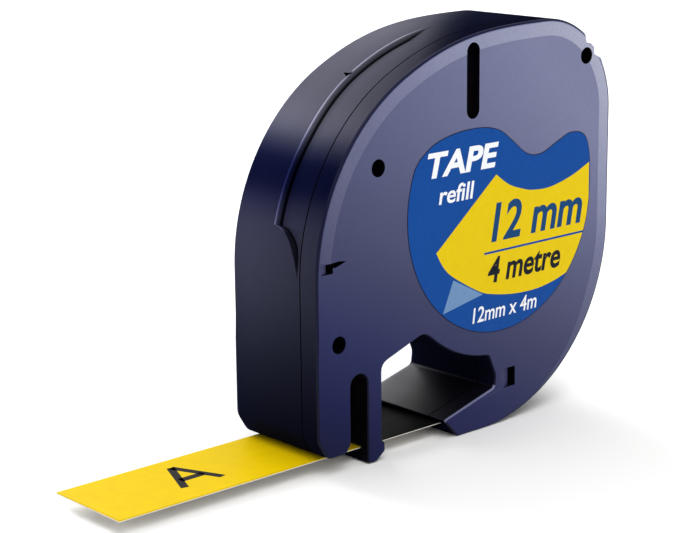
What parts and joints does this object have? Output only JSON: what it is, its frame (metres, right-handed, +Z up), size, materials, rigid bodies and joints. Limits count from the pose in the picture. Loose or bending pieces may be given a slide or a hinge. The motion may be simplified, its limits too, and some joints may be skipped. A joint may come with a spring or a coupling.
{
  "type": "label tape cassette",
  "caption": "Flat upright label tape cassette: two-part moulded case with a print-head bay, a spool of adhesive tape inside, and a printed strip fed out at the side.",
  "frame": {"origin": "centre of the footprint of the whole part, at the plane it stands on", "axes": "+X across the face, away from the end of the tape strip; -Y the way the face looks; +Z up"},
  "size_m": [0.0772, 0.0154, 0.0501],
  "materials": {
    "case_plastic": "satin moulded, near-black navy",
    "face_plastic": "satin moulded, lavender-grey navy",
    "label_film": "printed gloss film, blue and yellow",
    "hub_plastic": "natural moulded",
    "wound_tape": "edges of wound film and liner",
    "tape_film": "yellow plastic film, semi-gloss",
    "liner_paper": "coated liner paper, split lengthwise"
  },
  "bodies": {
    "root": {"rear_case": "case_plastic", "front_cover": "face_plastic", "face_label": "label_film", "tape_run": "tape_film"},
    "spool": {"spool_core": "hub_plastic", "tape_roll": "wound_tape"},
    "tape": {"tape_strip": "tape_film", "strip_liner": "liner_paper"},
    "roller": {"guide_roller": "hub_plastic"}
  },
  "joints": [
    {"name": "spool_spin", "type": "hinge", "parent": "root", "child": "spool", "pos_m": [0.0178, 0, 0.02615], "axis": [0, 1, 0], "range_deg": [0, 30]},
    {"name": "tape_feed", "type": "slide", "parent": "root", "child": "tape", "axis": [-1, 0, 0], "range_m": [0, 0.0082]},
    {"name": "roller_spin", "type": "hinge", "parent": "root", "child": "roller", "pos_m": [0.0196, 0, 0.00315], "axis": [0, 1, 0], "range_deg": [0, 360]}
  ],
  "couplings": [
    {"joint": "tape_feed", "follows": "spool_spin", "m_per_rad": 0.0155},
    {"joint": "roller_spin", "follows": "spool_spin", "ratio": 11.9}
  ]
}
